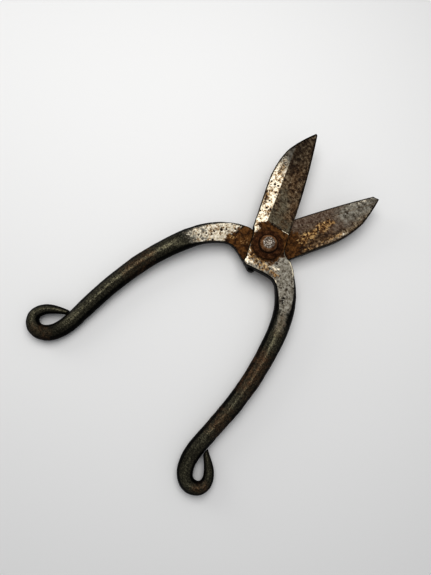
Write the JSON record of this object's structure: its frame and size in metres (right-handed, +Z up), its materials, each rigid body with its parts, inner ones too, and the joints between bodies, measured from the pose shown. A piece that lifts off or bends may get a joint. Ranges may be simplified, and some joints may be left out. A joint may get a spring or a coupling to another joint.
{
  "type": "metal snips",
  "caption": "Hand-forged metal snips: two pointed shear blades on a domed rivet, bowed round handles ending in curled loops.",
  "frame": {"origin": "on the pivot's axis, at the flat peened end of the rivet on the lower side, which the snips lie on", "axes": "+Z up along the pivot's axis, +Y between the blades towards their points, +X towards the upper half's handle side; the blades are open as found"},
  "size_m": [0.1514, 0.2219, 0.0217],
  "materials": {
    "forged_iron": "black forge scale on the handles, ground and rust-stained on the blade and neck",
    "edge_steel": "ground, worn and stained",
    "rivet_iron": "brown rust, bright where peened"
  },
  "bodies": {
    "lower_half": {"far_half": "forged_iron", "far_edge_steel": "edge_steel", "pivot_rivet": "rivet_iron", "front_washer": "rivet_iron", "back_washer": "rivet_iron"},
    "upper_half": {"near_half": "forged_iron", "near_edge_steel": "edge_steel"}
  },
  "joints": [
    {"name": "jaw_pivot", "type": "hinge", "parent": "lower_half", "child": "upper_half", "pos_m": [0, 0, 0.0103], "axis": [0, 0, 1], "range_deg": [-42, 25]}
  ]
}
